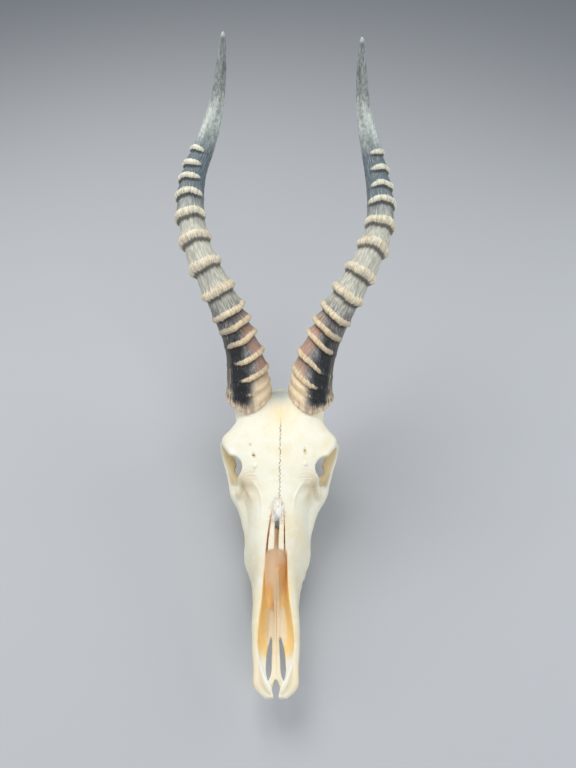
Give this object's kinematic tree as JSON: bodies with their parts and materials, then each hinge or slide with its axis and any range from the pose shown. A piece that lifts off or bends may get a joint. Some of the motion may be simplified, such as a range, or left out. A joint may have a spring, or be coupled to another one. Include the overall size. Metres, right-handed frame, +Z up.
{
  "type": "impala skull with horns",
  "caption": "Dry upper skull of an impala ram with both ringed, lyre-shaped horns and the upper cheek teeth, at rest on its teeth and heel bones.",
  "frame": {"origin": "on the ground plane, below the middle of the object's box", "axes": "+X to the animal's left, which is the right of the picture; +Y from the nose towards the horn tips; +Z up"},
  "size_m": [0.2081, 0.4531, 0.3647],
  "materials": {
    "bone": "dry bleached bone, ivory white with orange-stained nose passages",
    "horn": "ringed horn, pale cream ridges over brown to black grooves, smooth dark tips",
    "enamel": "worn ivory tooth enamel with dark folds"
  },
  "bodies": {
    "root": {"skull": "bone", "left_horn": "horn", "right_horn": "horn", "left_premolar_1": "enamel", "left_premolar_2": "enamel", "left_premolar_3": "enamel", "left_molar_1": "enamel", "left_molar_2": "enamel", "left_molar_3": "enamel", "right_premolar_1": "enamel", "right_premolar_2": "enamel", "right_premolar_3": "enamel", "right_molar_1": "enamel", "right_molar_2": "enamel", "right_molar_3": "enamel"}
  },
  "joints": []
}
